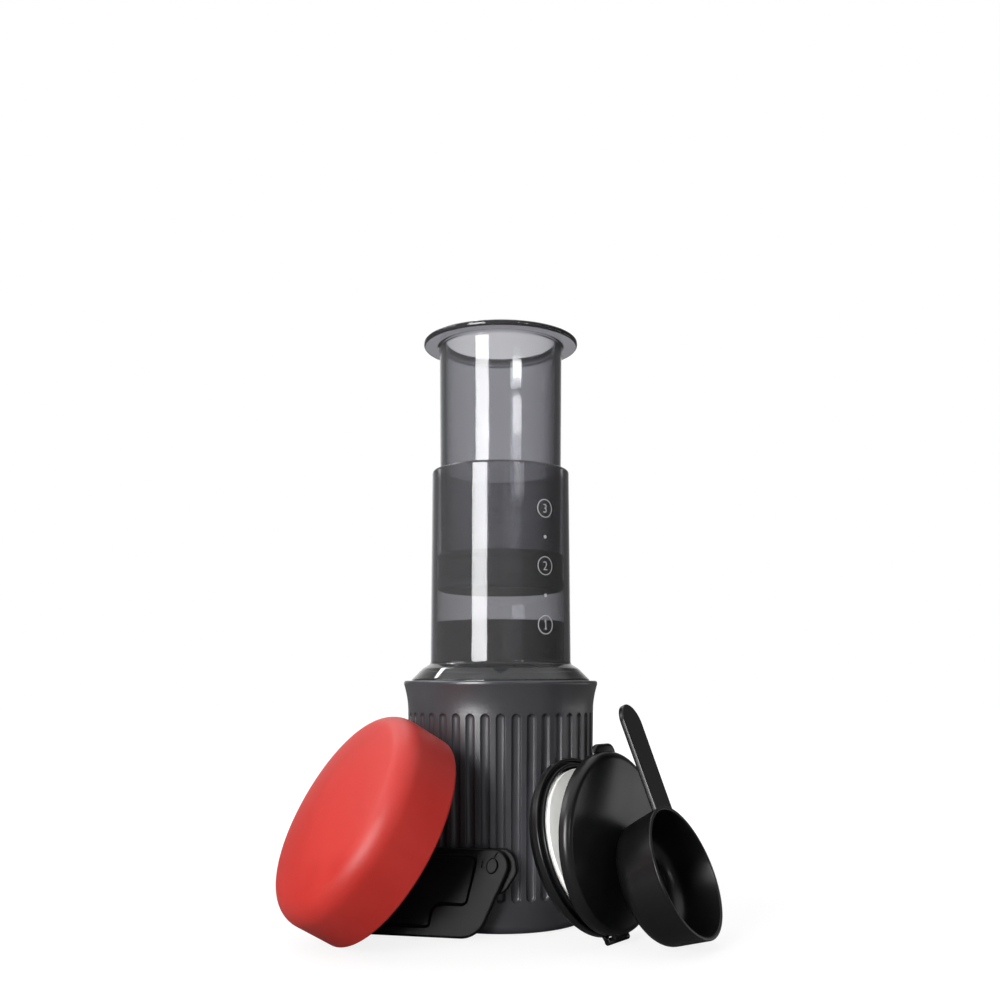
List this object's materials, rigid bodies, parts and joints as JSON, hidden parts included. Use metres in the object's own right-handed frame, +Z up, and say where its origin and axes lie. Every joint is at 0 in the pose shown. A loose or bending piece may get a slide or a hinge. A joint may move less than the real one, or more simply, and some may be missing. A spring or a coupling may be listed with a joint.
{
  "type": "travel coffee press",
  "caption": "Travel coffee press standing in its fluted mug with the plunger raised, its silicone lid, folding stirrer, paper-filter case and scoop set out around it.",
  "frame": {"origin": "centre of the mug's flat base, on the table", "axes": "+Z up along the press, -Y towards the camera, +X to the right in the picture"},
  "size_m": [0.187, 0.1451, 0.2728],
  "materials": {
    "mug_plastic": "satin dark grey",
    "smoky_clear": "smoky clear, polished",
    "black_rubber": "matte",
    "black_plastic": "satin black",
    "paper": "white paper",
    "red_silicone": "soft matte red"
  },
  "bodies": {
    "mug": {"mug": "mug_plastic"},
    "chamber": {"chamber": "smoky_clear"},
    "plunger": {"plunger_tube": "smoky_clear", "plunger_seal": "black_rubber"},
    "filter_cap": {"filter_cap": "black_plastic", "cap_paper": "paper"},
    "lid": {"lid": "red_silicone"},
    "filter_case": {"case_tray": "black_plastic", "paper_stack": "paper"},
    "case_cover": {"case_cover": "black_plastic"},
    "top_paper": {"top_paper": "paper"},
    "scoop": {"scoop": "black_plastic"},
    "stirrer": {"stirrer_handle": "black_plastic", "stirrer_pin": "black_plastic"},
    "paddle": {"stirrer_paddle": "black_plastic"}
  },
  "joints": [
    {"name": "chamber_lift", "type": "slide", "parent": "mug", "child": "chamber", "axis": [0, 0, 1], "range_m": [0, 0.05]},
    {"name": "plunger_slide", "type": "slide", "parent": "chamber", "child": "plunger", "axis": [0, 0, 1], "range_m": [-0.0625, 0.062]},
    {"name": "cap_twist", "type": "hinge", "parent": "chamber", "child": "filter_cap", "pos_m": [0, 0, 0.084], "axis": [0, 0, 1], "range_deg": [0, 45]},
    {"name": "lid_lift", "type": "slide", "parent": "mug", "child": "lid", "axis": [-0.7647, -0.4066, 0.5], "range_m": [0, 0.05]},
    {"name": "case_lift", "type": "slide", "parent": "mug", "child": "filter_case", "axis": [-0.3999, -0.4199, 0.8147], "range_m": [0, 0.012]},
    {"name": "cover_hinge", "type": "hinge", "parent": "filter_case", "child": "case_cover", "pos_m": [0.04812, -0.05382, 0.0013], "axis": [0.6088, 0.7934, 0], "range_deg": [-12, 0]},
    {"name": "paper_slide", "type": "slide", "parent": "filter_case", "child": "top_paper", "axis": [-0.0825, 0.0633, 0.9946], "range_m": [0, 0.014]},
    {"name": "scoop_lift", "type": "slide", "parent": "mug", "child": "scoop", "axis": [0.5495, -0.5495, 0.6294], "range_m": [0, 0.05]},
    {"name": "stirrer_lift", "type": "slide", "parent": "mug", "child": "stirrer", "axis": [0.5011, -0.2004, 0.8419], "range_m": [0, 0.015]},
    {"name": "stirrer_fold", "type": "hinge", "parent": "stirrer", "child": "paddle", "pos_m": [-0.00296, -0.04664, 0.02932], "axis": [0.2072, 0.975, -0.0802], "range_deg": [0, 40]}
  ]
}
